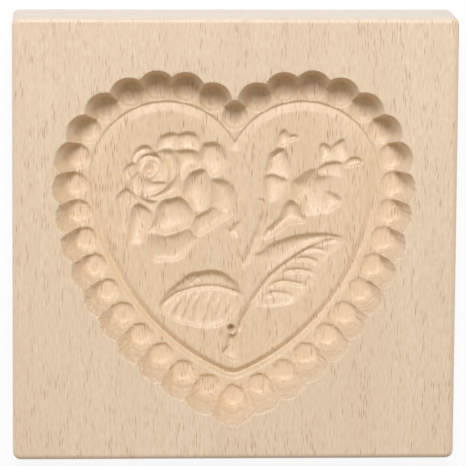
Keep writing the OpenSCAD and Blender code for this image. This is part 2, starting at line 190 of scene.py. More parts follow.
BUDS = {
    "left_body": (1.9, 16, (10.6, 23), [
        (8, 17.5), (8.3, 20), (9, 22.3), (10.5, 23.7), (12.2, 24.5), (13.9, 23.7), (15, 21.4),
        (15.4, 18.5), (14.8, 16), (12.8, 15.8), (9.5, 16.5)]),
    "left_cup": (1.9, 17, (9.8, 17.4), [
        (7.6, 15.2), (8.2, 16.8), (9.6, 17.6), (11.2, 17.5), (12.6, 16.7), (14.4, 15.4),
        (14, 13.6), (12.3, 11), (10.8, 9), (9.3, 9), (8, 12)]),
    "left_curl": (1.3, 9, (13.3, 29), [
        (11.4, 24.6), (11.3, 27), (12.2, 28.8), (13.5, 29.5), (14.5, 28.6), (15.2, 27.2),
        (14.6, 25.6), (13, 24.6)]),
    "left_drop": (1.1, 4, (15.9, 27.9), [
        (14.2, 27.2), (15, 27.9), (16.2, 28.1), (17.4, 27.4), (16.9, 26.6), (15.5, 26.2),
        (14.4, 26.4)]),
    "leaflet": (1.7, 8, (7, 10.4), [
        (6, 10.2), (6.8, 10.6), (7.9, 10.1), (8.6, 8.6), (9, 6.5), (8.2, 5.5), (7.4, 8.2),
        (6.9, 9.4)]),
    "left_tip": (1.5, 9, (24, 25.6), [
        (22.6, 23.5), (22.8, 25), (23.8, 25.8), (25.2, 25.3), (26.4, 24.1), (26.6, 22),
        (24.5, 20.6), (23, 21)]),
    "right_tip": (1.5, 12, (29, 26.6), [
        (26, 24.4), (27.2, 25.8), (28.6, 26.7), (29.8, 26.7), (30.4, 25), (30.9, 23), (30.5, 21.3),
        (28.5, 20.5), (26.2, 21.5)]),
    "side_tip": (1.1, 9, (32.8, 21.8), [
        (30.6, 21.2), (31.8, 21.9), (33.2, 21.9), (34.4, 21.2), (35.1, 20.2), (33, 19.3),
        (30.5, 18.8), (29.2, 19.5)]),
    "right_back": (1.3, 12, (25.5, 20.6), [
        (22.2, 18), (23, 19.3), (24.8, 20.3), (27, 20.7), (28.9, 20.4), (29.6, 19), (29.8, 16),
        (27.5, 15.5), (24, 16)]),
    "right_body": (2.4, 24, (18, 15.6), [
        (15, 13), (15.3, 15.2), (17, 16.4), (19, 17.8), (20.8, 18.8), (22.2, 18.4), (23, 17.2),
        (24.4, 17.6), (26.8, 18.1), (28.6, 19.4), (29.6, 18), (29.8, 14.5), (29.4, 10.4),
        (28.6, 8.6), (26, 6.6), (24, 4.9), (20.5, 4.8), (18.2, 6), (17.5, 8.8), (15.8, 10)]),
    "right_fold": (1.7, 14, (26, 12.8), [
        (23.6, 12.9), (25.2, 13.3), (27, 12.4), (29.2, 10.2), (28.6, 8.6), (26, 6.6), (24, 5.2),
        (22.5, 8)]),
}
STEMS = {
    "calyx": (1.3, 7, (1.2, 4), [
        (-3, 3.1), (-1.9, 2.5), (-1.4, 1.5), (0, 3.1), (1.7, 4.2), (1.6, 3), (1.2, 0.5),
        (1.8, -3.5), (3, -7.5), (2, -7.5), (0.2, -4), (-0.9, -0.5), (-2, 1.5)]),
    "left_bud": (1, 40, (3, 1), [
        (9.2, 10), (10.9, 9.6), (9.6, 4.6), (7.6, -1), (5.8, -4.5), (4.2, -8), (2.5, -7.8),
        (3.6, -5), (4.6, -2), (5.7, 1.5), (6.6, 5)]),
    "right_bud": (2.2, 26, (12.5, 8), [
        (12.7, 7), (13.5, 8.9), (15.3, 10.2), (17.2, 9), (18.3, 7), (19.4, 5), (18.8, 3.6),
        (15, 3.2), (12, 0.8), (9, -0.9), (6, -3.2), (4.6, -4.2), (5.6, -2), (7, 0),
        (8.6, 2.2), (10.6, 3.9), (12, 5.4)]),
    "main": (2, 45, (-4, -27), [
        (5.2, -17.5), (4.3, -18.8), (2.9, -20.8), (1.8, -23.2), (1, -25.3), (0.4, -26.7),
        (-0.5, -27.2), (-1.5, -27), (-1.7, -28.5), (-2, -30.3), (-3.4, -32.4), (-1.5, -34),
        (1.2, -34.4), (2, -32), (2.4, -28.5), (3.4, -24.5), (4.6, -21.3), (6, -18.5)]),
}
LEAVES = {
    "right_upper": (2.1, 130, (17, 9), [
        (5.1, -5), (7.3, -4), (9.7, -1.9), (13.2, -0.5), (16.6, 0.5), (20.7, 1.1), (26.7, 0.9),
        (30.4, -1.1), (26, -1), (20.7, -3.1), (17.9, -4.6), (15.2, -6.4), (12.5, -8.4),
        (10.4, -10.2), (8.7, -12), (6.7, -15), (4.6, -17.9), (6, -14.5), (7.2, -11), (6.5, -8)]),
    "right_lower": (1.5, 110, (13, -3), [
        (30.3, -1.2), (26.5, -0.6), (20.7, -2.5), (17.9, -4), (15.2, -5.8), (12.5, -7.8),
        (10.4, -9.6), (8.7, -11.4), (6.7, -14.4), (5.3, -16.5), (3.6, -19.2), (7.5, -19.7),
        (12.5, -19.4), (16.5, -18.3), (18.8, -15.8), (21.6, -13), (23.5, -8), (27, -4.5)]),
    "left": (2.2, 150, (-9, -4), [
        (-20.7, -19.2), (-19.8, -17.3), (-18, -14.8), (-15.5, -12.7), (-12.6, -10.3), (-10, -9.6),
        (-6, -9.1), (-3.2, -9.7), (-1, -11.1), (0.8, -12.8), (2, -15.6), (1.8, -18.6),
        (0.5, -21.5), (-2, -24), (-5, -25.3), (-9, -25.4), (-13.5, -24.3), (-17, -23.2),
        (-20, -21)]),
}
# Slope of a hollow's wall where it isn't the usual one; a name found in two tables stands for both
SLOPES = {
    "right_body": 0.9, "bottom_left": 1, "bottom_right": 1, "right_upper": 1.1, "second_left": 1.1,
    "main": 2.4}
# Gouge lines over petals and leaves: depth (a ridge where it is below zero), half width, points
VEINS = [
    (0.8, 1.1, [(29, -0.6), (24, -1.5), (20.7, -3.1), (17.9, -4.7), (15.2, -6.5), (12.5, -8.5),
                (10.4, -10.3), (8.7, -12.1), (6.8, -15), (5.4, -17.1), (4, -19.3), (3, -21.2),
                (2, -23.4), (1.2, -25.4), (0.6, -27.1)]),
    (0.6, 0.7, [(20, -4.1), (22.3, -3.7), (25.2, -4.3)]),
    (0.75, 0.8, [(16.5, -6.7), (19, -6.3), (21.3, -6.8), (23.4, -7.7)]),
    (0.75, 0.8, [(13.4, -10.1), (16.2, -9.6), (19, -9.7), (21.8, -10.4)]),
    (0.75, 0.8, [(9.8, -13.9), (12.2, -12.9), (15, -12.8), (19.3, -13.7)]),
    (0.6, 0.8, [(8.4, -16.6), (10.6, -15.8), (13, -15.9), (15.8, -16.6)]),
    (0.7, 0.8, [(2.4, -16.2), (-1.5, -15), (-5, -14.2), (-9, -14.3), (-13, -15.2), (-16, -16.3),
                (-19.8, -19)]),
    (-0.65, 0.8, [(-14.6, -17), (-17.4, -21.4)]),
    (-0.65, 0.8, [(-12, -16.4), (-14.6, -22.8)]),
    (-0.65, 0.8, [(-9.4, -16.2), (-11.6, -20), (-11.4, -24)]),
    (-0.65, 0.8, [(-6.6, -16.4), (-8.6, -23.6)]),
    (-0.65, 0.8, [(-4, -16.8), (-5.6, -22.4)]),
    (-0.65, 0.8, [(-1.2, -17.4), (-2.8, -21.8)]),
    (0.4, 0.45, [(-16.6, -11.7), (-14.9, -14.1)]),
    (0.4, 0.45, [(-13.9, -10.7), (-10.8, -14.4)]),
    (0.4, 0.45, [(-10.8, -9.9), (-8.8, -13.2)]),
    (0.4, 0.45, [(-7.7, -9.6), (-6.4, -13.4)]),
    (0.4, 0.45, [(-4.7, -9.9), (-4, -13.4)]),
    (0.35, 0.45, [(-12.9, -11.5), (-16.6, -15)]),
    (0.35, 0.45, [(-8.8, -10.8), (-12.4, -13.8)]),
    (0.6, 0.7, [(2.5, -7.9), (4.4, -2.9), (6, 1.4)]),
    (0.7, 0.7, [(0.9, -4.2), (1.6, -6.2), (2.6, -8.7)]),
    (0.6, 0.6, [(-2.7, 3.3), (-1.2, 1), (-0.2, 2.8), (1.7, 4.3)]),
    (0.4, 0.5, [(-25.6, 20.6), (-24.7, 21.5), (-22.7, 21.9), (-20.6, 21.3), (-20, 19.7),
                (-20.4, 17.7), (-21.7, 16.7)]),
    (0.3, 0.5, [(-28, 20.8), (-27, 22.6), (-25.2, 23.7), (-23.4, 24)]),
    (0.5, 0.6, [(9.8, 20.8), (10.8, 21.6), (11.8, 22.5), (13.2, 23.5)]),
    (0.6, 0.6, [(3.4, -20.9), (2.4, -23), (1.5, -25.2), (0.6, -27)]),
    (0.9, 0.7, [(-1, -27.2), (-1.4, -29.2), (-1.9, -30.8), (-2.9, -32.4)]),
]
# Rings at the heart of the rose: depth and half width as for the lines, centre, radius
RINGS = [
    (-0.35, 0.7, (-23.4, 18.2), 1.7),
    (1.1, 1.0, (-23.4, 17.9), 0.0),
    (0.4, 0.6, (-23.3, 18.6), 3.3),
]
# Place of the small hole by the lower leaf
HOLE_AT = (-0.8, -25.4)


def length(name, description, default):
    """A length property, given here in mm."""
    return FloatProperty(
        name=name, description=description, default=default * MM, unit="LENGTH", precision=5)


def angle(name, description, default):
    """An angle property, given here in degrees."""
    return FloatProperty(name=name, description=description, default=math.radians(default), subtype="ANGLE")


def colour(name, description, default):
    """A colour property, linear red, green and blue."""
    return FloatVectorProperty(
        name=name, description=description, default=default, subtype="COLOR", size=3, min=0, max=1)


class MouldSizes(bpy.types.PropertyGroup):
    """Sizes of the block and of the carving."""

    block_w: length("Block width", "Across the grain", CAD_W)
    block_h: length("Block height", "Along the grain", CAD_H)
    block_t: length("Block thickness", "From the flat back to the carved face", CAD_T)
    corner_r: length("Corner radius", "Radius of the four upright corners", 2.2)
    edge_r: length("Edge radius", "Radius of the edges round both faces", 1.6)
    heart_x: length("Heart shift", "Sideways place of the heart on the block", 0.2)
    lobe_x: length("Lobe spacing", "Half the distance between the centres of the lobes", 18.5)
    lobe_y: length("Lobe height", "Lobe centres above the middle of the block", 15.8)
    lobe_r: length("Lobe radius", "Radius of a lobe on the line of the bowl centres", 25.1)
    flank_r: length("Flank radius", "Radius of a flank on the line of the bowl centres", 66.7)
    flank_a: angle("Flank start", "Angle below the level at which a lobe passes into its flank", 2.9)
    field_d: length("Field depth", "Depth of the field and of the ridge below the face", 8.5)
    field_in: length("Field inset", "From the line of the bowl centres in to the field", 6.85)
    cleft_in: length("Cleft depth", "How much further the cleft cuts into the field", 2.9)
    tip_round: length("Tip rounding", "Softens the tip of the field", 1.2)
    steps: IntProperty(
        name="Scallop steps", description="Steps from scallop to scallop down one half", default=18, min=4)
    bowl_top: length("Bowl at cleft", "Radius of a bowl at the level of the ridge", 3.5)
    bowl_tip: length("Bowl at tip", "Radius of a bowl at the level of the ridge", 3.1)
    edge_top: length("Edge at cleft", "From the line in to the inner edge of a bowl", 3.85)
    edge_tip: length("Edge at tip", "From the line in to the inner edge of a bowl", 3.3)
    lean_x: length("Lean", "Sideways lean of the scallops up to the face", -0.5)
    dish_top: length("Dish at cleft", "Depth of a dish below the ridge", 1.5)
    dish_tip: length("Dish at tip", "Depth of a dish below the ridge", 0.9)
    dish_flat: length("Flatter dishes", "How much shallower the dishes of the right flank are", 0.5)
    torn: length("Torn edges", "How uneven the edges of the scallops are", 0.6)
    flare_top: length("Flare at cleft", "Radius of a scallop at the face", 5.3)
    flare_tip: length("Flare at tip", "Radius of a scallop at the face", 6.5)
    groove_w: length("Groove width", "Width of the groove round the field", 2.8)
    groove_d: length("Groove depth", "Depth of the groove below the field", 1.15)
    spray_x: length("Spray shift", "Sideways place of the spray", 0.1)
    spray_y: length("Spray height", "Up and down place of the spray", -0.4)
    relief: FloatProperty(
        name="Relief", description="Depth of the spray against the carved one", default=1, subtype="FACTOR",
        min=0, max=1.4)
    wall: FloatProperty(name="Wall slope", description="Depth per width at the edge of a petal", default=1.4)
    hole_r: length("Hole radius", "Radius of the small hole by the lower leaf", 0.8)
    hole_d: length("Hole depth", "Depth of that hole below the field", 2.6)
    grid: length("Grid step", "Distance between the points of the carved face", 0.2)


class MouldColours(bpy.types.PropertyGroup):
    """Colours of the wood, and of the painted light, shade and reflection on it."""

    pale: colour("Pale wood", "Lighter bands of the wood", (0.88, 0.71, 0.53))
    deep: colour("Deep wood", "Darker bands of the wood", (0.82, 0.635, 0.455))
    streak: colour("Streaks", "Long thin streaks along the grain", (0.74, 0.56, 0.40))
    grain: colour("Grain", "Fine short grain", (0.70, 0.52, 0.36))
    fleck: colour("Flecks", "Short dark flecks along the grain", (0.43, 0.27, 0.15))
    # Painted shade: the wood is darkened and warmed down in the hollows
    hollow: colour("Hollows", "What the wood is multiplied by down in the hollows", (0.985, 0.955, 0.91))
    # Painted light: walls that face left or right are lightened
    side: colour("Side walls", "Walls that face left or right", (0.93, 0.76, 0.59))
    # Painted shade: walls that face right, away from the lamp, are darkened to a warmer brown
    right_wall_shade: colour("Shaded walls", "Walls that face right", (0.76, 0.54, 0.31))
    # End grain in two copies: a painted shaded one, darker and oranger, for walls that face down the heart
    # away from the lamp, and a painted lit one, greyer, for walls that face up to it
    end_grain_shaded: colour("Lower end grain", "End grain that faces down the heart", (0.74, 0.45, 0.19))
    end_grain_lit: colour("Upper end grain", "End grain that faces up the heart", (0.48, 0.46, 0.37))
    layer: colour("Layers", "Thin dark layers in the end grain", (0.55, 0.37, 0.22))
    # Painted reflection of the white surroundings: greys the upper and lower ends of the block
    ends_reflection: colour("Sawn ends", "The upper and lower side of the block", (0.695, 0.62, 0.55))


class StageSizes(bpy.types.PropertyGroup):
    """Place of the camera, and place and strength of the light."""

    distance: length("Camera distance", "Place of the camera along Z, above the flat back", 1139.5)
    side: length("Camera side", "Place of the camera along X", -56.5)
    rise: length("Camera rise", "Place of the camera along Y", 193)
    lens: FloatProperty(
        name="Lens", description="Focal length on a 36 mm sensor", default=325.7, unit="CAMERA")
    pitch: angle("Pitch", "Turn of the camera about X", 9.68)
    yaw: angle("Yaw", "Turn of the camera about Y", 2.82)
    roll: angle("Roll", "Turn of the camera about its own axis", 0.11)
    lamp_x: length("Lamp side", "Place of the soft lamp along X", -60)
    lamp_y: length("Lamp rise", "Place of the soft lamp along Y", 690)
    lamp_z: length("Lamp height", "Place of the soft lamp along Z", 950)
    lamp_w: length("Lamp width", "Side of the square soft lamp", 400)
    key: FloatProperty(name="Key light", description="Power of the soft lamp", default=11.85, unit="POWER")
    key_colour: colour("Key colour", "Colour of the soft lamp", (0.92, 0.945, 1))
    fill: FloatProperty(
        name="Fill", description="Strength of the light from all round", default=0.36, min=0)
    fill_colour: colour("Fill colour", "Colour of the light from all round", (1, 0.95, 0.84))
    floor_w: length("Floor width", "Side of the square floor", 3000)


def names(group):
    """Names of the properties of a group, in order."""
    return [name for name in group.bl_rna.properties.keys() if name not in ("rna_type", "name")]


def values(group):
    """The values of a property group by name, with its lengths in mm and its angles in radians."""
    out = types.SimpleNamespace()
    for name in names(group):
        value = getattr(group, name)
        setattr(out, name, value / MM if group.bl_rna.properties[name].unit == "LENGTH" else value)
    return out


def smooth_line(points, closed=True, steps=6):
    """Points along a Catmull-Rom line: b + (c-a)t/2 + (2a-5b+4c-d)t^2/2 + (3b-a-3c+d)t^3/2."""
    p = np.array(points, float)
    if closed:
        a, b, c, d = np.roll(p, 1, 0), p, np.roll(p, -1, 0), np.roll(p, -2, 0)
    else:
        q = np.vstack([2 * p[0] - p[1], p, 2 * p[-1] - p[-2]])
        a, b, c, d = q[:-3], q[1:-2], q[2:-1], q[3:]
    t = (np.arange(steps) / steps)[None, :, None]
    a, b, c, d = (v[:, None, :] for v in (a, b, c, d))
    line = b + (c - a) * t / 2 + (2 * a - 5 * b + 4 * c - d) * t**2 / 2 + (3 * b - a - 3 * c + d) * t**3 / 2
    line = line.reshape(-1, 2)
    return line if closed else np.vstack([line, p[-1]])


def line_distance(x, y, line, closed=True):
    """Distance of each point to a line of short segments, and whether the point lies inside it.

    The nearest place on a segment is the share t of the way, the point's offset along it over its
    length. A point is inside where a ray to its right crosses the line an odd number of times.
    """
    a = line if closed else line[:-1]
    b = np.roll(line, -1, 0) if closed else line[1:]
    best = np.full(x.shape, np.inf)
    inside = np.zeros(x.shape, bool)
    for (ax, ay), (bx, by) in zip(a, b):
        ux, uy = bx - ax, by - ay
        t = np.clip(((x - ax) * ux + (y - ay) * uy) / (ux * ux + uy * uy + TINY), 0, 1)
        best = np.minimum(best, np.hypot(x - ax - t * ux, y - ay - t * uy))
        if closed and ay != by:
            inside ^= ((ay > y) != (by > y)) & (x < ax + (y - ay) * ux / uy)
    return best, inside


def near_line(x, y, line, margin):
    """Which points lie in the line's box, made larger by a margin on all sides."""
    (left, low), (right, high) = line.min(0) - margin, line.max(0) + margin
    return (x > left) & (x < right) & (y > low) & (y < high)


class Heart:
    """The line of the bowl centres: two lobes and two flanks, each an arc of a circle."""

    def __init__(self, s):
        """Centre of a flank on the line through the lobe's centre and the joint, and lengths of the arcs."""
        self.s = s
        self.fall = s.flank_a
        self.flank_x = s.lobe_x - (s.flank_r - s.lobe_r) * math.cos(self.fall)
        self.flank_y = s.lobe_y + (s.flank_r - s.lobe_r) * math.sin(self.fall)
        self.cleft = math.acos(-s.lobe_x / s.lobe_r)
        self.cleft_y = s.lobe_y + s.lobe_r * math.sin(self.cleft)
        self.tip = math.acos(-self.flank_x / s.flank_r)
        self.lobe_len = s.lobe_r * (self.cleft + self.fall)
        self.half_len = self.lobe_len + s.flank_r * (self.tip - self.fall)

    def along(self, way):
        """Point on the right half at a way down from the cleft, and the angle of its outward direction."""
        s = self.s
        if way < self.lobe_len:
            a = self.cleft - way / s.lobe_r
            return s.lobe_x + s.lobe_r * math.cos(a), s.lobe_y + s.lobe_r * math.sin(a), a
        a = -self.fall - (way - self.lobe_len) / s.flank_r
        return self.flank_x + s.flank_r * math.cos(a), self.flank_y + s.flank_r * math.sin(a), a

    def inset(self, x, y):
        """Distance inside the line, negative outside.

        It is the radius of the near arc less the distance to its centre. Above the cleft it is also at
        least the distance to the cleft less cleft_in. At the flanks x counts as the square root of
        x^2 + tip_round^2, which rounds the tip.
        """
        s = self.s
        x = np.abs(x)
        ux, uy = x - s.lobe_x, y - s.lobe_y
        lobe = s.lobe_r - np.hypot(ux, uy)
        flank = s.flank_r - np.hypot(np.hypot(x, s.tip_round) - self.flank_x, y - self.flank_y)
        below = -uy * math.cos(self.fall) > ux * math.sin(self.fall)
        over = (np.arctan2(uy, ux) > self.cleft) & ~below
        cleft = np.maximum(lobe, np.hypot(x, y - self.cleft_y) - s.cleft_in)
        return np.where(over, cleft, np.where(below, flank, lobe))

    def bowls(self):
        """Place, run up to the face, radius and depth of the dish, and radius at the face of each scallop.

        They stand at even steps down both halves. Sizes pass from those at the cleft to those at the
        tip, evenly or with a power of the way. The dishes of the right half are shallower by a sine.
        """
        s = self.s
        out = []
        for i in range(s.steps + 1):
            x, y, a = self.along(self.half_len * i / s.steps)
            part = i / s.steps
            if i in (0, s.steps):
                a = math.copysign(math.pi / 2, a)
            bowl = s.bowl_top + (s.bowl_tip - s.bowl_top) * part
            dish = s.dish_top + (s.dish_tip - s.dish_top) * part
            flat = dish - s.dish_flat * math.sin(math.pi * part)
            flare = s.flare_top + (s.flare_tip - s.flare_top) * part**FLARE_POWER
            edge = s.edge_top + (s.edge_tip - s.edge_top) * part**FLARE_POWER
            ux, uy = (edge - bowl) * math.cos(a), (edge - bowl) * math.sin(a)
            out.append((x - ux, y - uy, ux + s.lean_x, uy, bowl, flat, flare))
            if 0 < i < s.steps:
                out.append((ux - x, y - uy, s.lean_x - ux, uy, bowl, dish, flare))
        return out


def ragged(x, y, step):
    """Uneven look from -0.5 to 0.5 over cells of one size.

    The value of a cell is the part after the point of HASH_SINE sin(HASH_COLUMN i + HASH_ROW j), and
    the values are joined smoothly with 3t^2 - 2t^3.
    """
    x, y = x / step, y / step
    i, j = np.floor(x), np.floor(y)
    u, v = x - i, y - j
    u, v = u * u * (3 - 2 * u), v * v * (3 - 2 * v)

    def cell(a, b):
        return np.sin(HASH_COLUMN * a + HASH_ROW * b) * HASH_SINE % 1

    low = cell(i, j) * (1 - u) + cell(i + 1, j) * u
    high = cell(i, j + 1) * (1 - u) + cell(i + 1, j + 1) * u
    return low * (1 - v) + high * v - 0.5


def torn_edges(s, x, y):
    """How far the edge of a scallop is off its circle: the ragged parts, growing evenly down the heart."""
    share = np.clip((TORN_FROM - y) / TORN_OVER, TORN_LEAST, 1)
    return s.torn * share * sum(weight * ragged(x, y, step) for weight, step in TEARS)


def scallop_height(s, x, y, torn, run_x, run_y, bowl, dish, flare):
    """Height above the ridge of one scallop.

    At a distance r from its middle and within the bowl's radius b it is a dish, -d (1 - (r/b)^k), where k
    is DISH_POWER. Round it stands a leaning cone: at the part t of the way up to the face its centre has
    moved by c t and its radius is b + g t, so at the point p, g^2 t^2 - c^2 t^2 + 2 (p.c + b g) t =
    r^2 - b^2, solved for t.
    """
    g = flare - bowl
    r = np.hypot(x, y) + torn
    a, b = g * g - run_x * run_x - run_y * run_y, x * run_x + y * run_y + bowl * g
    rest = np.maximum(r * r - bowl * bowl, 0)
    cone = s.field_d * (np.sqrt(np.maximum(b * b + a * rest, 0)) - b) / a
    return np.where(r < bowl, -dish * (1 - (r / bowl) ** DISH_POWER), cone)


def groove_depth(s, inset, y):
    """Depth of the groove below the ridge: straight slopes across it, passing evenly down the heart from
    the section along the lobes to the one in the lower heart."""
    outer = s.field_in - s.groove_w
    low = np.interp(inset, [outer, outer + LOW_LIP, s.field_in - LOW_DEEPEST, s.field_in], LOW_DEPTHS)
    high = np.interp(inset, [outer, outer + HIGH_LIP, s.field_in], HIGH_DEPTHS)
    part = np.clip((GROOVE_FROM - y) / GROOVE_OVER, 0, 1)
    return s.groove_d * (high + (low - high) * part)


def hollow_depth(s, x, y, hollow, slope):
    """Depth of one hollow, and 0 outside its outline.

    Its floor f is D - r^2/2R about its deepest point, and its wall w falls evenly from the outline. The
    depth is the lesser of both, rounded by e where they meet: (f + w - sqrt((f - w)^2 + e^2)) / 2.
    """
    depth, radius, (deep_x, deep_y), outline = hollow
    line = smooth_line(outline)
    out = np.zeros(x.shape)
    near = near_line(x, y, line, HOLLOW_MARGIN)
    x, y = x[near], y[near]
    away, inside = line_distance(x, y, line)
    floor = s.relief * (depth + FLOOR_EXTRA - ((x - deep_x) ** 2 + (y - deep_y) ** 2) / (2 * radius))
    wall = away * slope
    lesser = (floor + wall - np.hypot(floor - wall, FLOOR_ROUND * depth)) / 2
    out[near] = np.where(inside, lesser, 0)
    return np.maximum(out, 0)


def vein_depth(x, y, vein):
    """Depth of a gouge line: V section over its width, fading evenly to both ends."""
    depth, half, points = vein
    line = smooth_line(points, closed=False, steps=5)
    out = np.zeros(x.shape)
    near = near_line(x, y, line, half)
    x, y = x[near], y[near]
    away, _ = line_distance(x, y, line, closed=False)
    ends = np.minimum(np.hypot(x - line[0, 0], y - line[0, 1]), np.hypot(x - line[-1, 0], y - line[-1, 1]))
    out[near] = depth * np.clip(1 - away / half, 0, 1) * np.clip(ends / VEIN_FADE, VEIN_LEAST, 1)
    return out


def spray_depth(s, x, y):
    """Depth of the spray below the field: the deepest hollow at each point, and the lines and rings
    added to it. The small hole is a plain cylinder."""
    cut = np.zeros(x.shape)
    for group in (PETALS, BUDS, STEMS, LEAVES):
        for name, hollow in group.items():
            cut = np.maximum(cut, hollow_depth(s, x, y, hollow, SLOPES.get(name, s.wall)))
    for vein in VEINS:
        cut = cut + vein_depth(x, y, vein)
    for depth, half, (ring_x, ring_y), radius in RINGS:
        away = np.abs(np.hypot(x - ring_x, y - ring_y) - radius)
        cut = cut + depth * np.clip(1 - away / half, 0, 1)
    hole = np.hypot(x - HOLE_AT[0], y - HOLE_AT[1])
    return np.maximum(cut, s.hole_d * (hole < s.hole_r))


def soften(z, passes):
    """Rounds sharp edges: each pass is a 1-2-1 average along both axes."""
    for _ in range(passes):
        for axis in (0, 1):
            a = np.take(z, [0, *range(z.shape[axis] - 1)], axis)
            b = np.take(z, [*range(1, z.shape[axis]), z.shape[axis] - 1], axis)
            z = (a + 2 * z + b) / 4
    return z


def carve(s, x, y):
    """Height of the carved face over the grid x, y.

    It is the lowest of the flat face, the scallops, the ridge inside them and the groove, less the spray
    on the field, with its edges softened.
    """
    heart = Heart(s)
    x = x - s.heart_x
    ridge_z = s.block_t - s.field_d
    z = np.full(x.shape, s.block_t)
    torn = torn_edges(s, x, y)
    for mid_x, mid_y, *shape, flare in heart.bowls():
        near = np.hypot(x - mid_x, y - mid_y) < flare + SCALLOP_MARGIN
        height = scallop_height(s, x[near] - mid_x, y[near] - mid_y, torn[near], *shape, flare)
        z[near] = np.minimum(z[near], ridge_z + height)
    inset = heart.inset(x, y)
    z = np.where(inset > 0, np.minimum(z, ridge_z), z)
    groove = np.minimum(z, ridge_z - groove_depth(s, inset, y))
    z = np.where(inset > s.field_in - s.groove_w, groove, z)
    spray = z - spray_depth(s, x - s.spray_x, y - s.spray_y)
    z = np.where(inset > s.field_in - SPRAY_MARGIN, spray, z)
    sharp = soften(z, 1)
    return np.where(z > ridge_z + SHARP_FROM * s.field_d, sharp, soften(sharp, 1))


def block_mesh(s):
    """Points, quads and cap of the block.

    The carved face is a grid. Rings of its border points, moved outwards by a reach and set at a height,
    follow a quarter circle at each edge and the straight side between, down to the flat back. Round an
    upright corner the directions of the last point turn by a quarter.
    """
    half_x, half_y = s.block_w / 2 - s.corner_r, s.block_h / 2 - s.corner_r
    nx, ny = round(2 * half_x / s.grid) + 1, round(2 * half_y / s.grid) + 1
    x, y = np.meshgrid(np.linspace(-half_x, half_x, nx), np.linspace(-half_y, half_y, ny), indexing="ij")
    points = [np.stack([x, y, carve(s, x, y)], -1).reshape(-1, 3)]
    index = np.arange(nx * ny).reshape(nx, ny)
    faces = [np.stack([index[:-1, :-1], index[1:, :-1], index[1:, 1:], index[:-1, 1:]], -1).reshape(-1, 4)]
    ring, turns = [], []
    for k, edge in enumerate([index[:, 0], index[-1, :], index[::-1, -1], index[0, ::-1]]):
        start = -math.pi / 2 + k * math.pi / 2
        corner = start + np.arange(1, CORNER_STEPS) / CORNER_STEPS * math.pi / 2
        ring += [edge, np.full(CORNER_STEPS - 1, edge[-1])]
        turns += [np.full(len(edge), start), corner]
    ring, turns = np.concatenate(ring), np.concatenate(turns)
    base = points[0][ring]
    outwards = np.stack([np.cos(turns), np.sin(turns), np.zeros(len(turns))], -1)
    bend = np.linspace(0, math.pi / 2, EDGE_STEPS + 1)
    flat = s.corner_r - s.edge_r
    profile = [(flat + s.edge_r * math.sin(a), s.block_t - s.edge_r * (1 - math.cos(a))) for a in bend]
    profile += [(s.corner_r, s.block_t / 2)]
    profile += [(flat + s.edge_r * math.cos(a), s.edge_r * (1 - math.sin(a))) for a in bend]
    last = ring
    total = nx * ny
    for reach, height in profile:
        row = base + outwards * reach
        row[:, 2] = height
        points.append(row)
        here = total + np.arange(len(ring))
        total += len(ring)
        faces.append(np.stack([last, here, np.roll(here, -1), np.roll(last, -1)], -1))
        last = here
    return np.vstack(points), np.vstack(faces), last[::-1]


def make_mesh(name, points, faces, cap):
    """Closed mesh from quads, some of them with two corners in one place, and one flat face below."""
    same = faces[:, 0] == faces[:, 3]
    quads = faces[~same]
    triangles = faces[same][:, :3]
    sizes = np.concatenate([np.full(len(quads), 4), np.full(len(triangles), 3), [len(cap)]])
    corners = np.concatenate([quads.ravel(), triangles.ravel(), cap])
    starts = np.concatenate([[0], np.cumsum(sizes)[:-1]])
    mesh = bpy.data.meshes.new(name)
    mesh.vertices.add(len(points))
    mesh.vertices.foreach_set("co", (points * MM).astype(np.float32).ravel())
    mesh.loops.add(len(corners))
    mesh.loops.foreach_set("vertex_index", corners.astype(np.int32))
    mesh.polygons.add(len(sizes))
    mesh.polygons.foreach_set("loop_start", starts.astype(np.int32))
    mesh.polygons.foreach_set("use_smooth", np.ones(len(sizes), bool))
    mesh.update(calc_edges=True)
    mesh.validate()
    return mesh


class Nodes:
    """Short names for building a shader."""

    def __init__(self, owner):
        """Starts an empty shader on a material or a world."""
        owner.use_nodes = True
        self.tree = owner.node_tree
        self.tree.nodes.clear()

    def put(self, value, socket):
        """Joins a socket to another one, or sets it to a number, a vector or a colour."""
        if hasattr(value, "is_linked"):
            self.tree.links.new(value, socket)
        else:
            socket.default_value = (*value, 1) if socket.type == "RGBA" else value

    def add(self, kind, inputs, **settings):
        """Node of a kind with its settings, and with its inputs joined or set."""
        node = self.tree.nodes.new(kind)
        for key, value in settings.items():
            setattr(node, key, value)
        for key, value in inputs.items():
            self.put(value, node.inputs[key])
        return node

    def maths(self, operation, a, b=0.0):
        """Result of one operation on two numbers."""
        return self.add("ShaderNodeMath", {0: a, 1: b}, operation=operation).outputs[0]

    def parts(self, vector):
        """X, Y and Z of a vector."""
        return self.add("ShaderNodeSeparateXYZ", {0: vector}).outputs

    def ramp(self, value, low, high, to_low=0.0, to_high=1.0):
        """Value carried evenly from low-high to to_low-to_high, and held at both ends."""
        keys = {"Value": value, "From Min": low, "From Max": high, "To Min": to_low, "To Max": to_high}
        return self.add("ShaderNodeMapRange", keys, clamp=True).outputs[0]

    def mix(self, factor, a, b, blend="MIX"):
        """Colour a with colour b mixed in by a factor."""
        keys = {0: factor, 6: a, 7: b}
        return self.add("ShaderNodeMix", keys, data_type="RGBA", blend_type=blend).outputs[2]

    def scaled(self, place, cells, slant=0.0):
        """Place in cells of a pattern, turned about Z."""
        keys = {"Vector": place, "Rotation": (0, 0, slant), "Scale": cells}
        return self.add("ShaderNodeMapping", keys).outputs[0]

    def noise(self, place, cells, detail):
        """Noise from 0 to 1."""
        keys = {"Vector": self.scaled(place, cells), "Scale": 1.0, "Detail": detail}
        return self.add("ShaderNodeTexNoise", keys).outputs["Fac"]


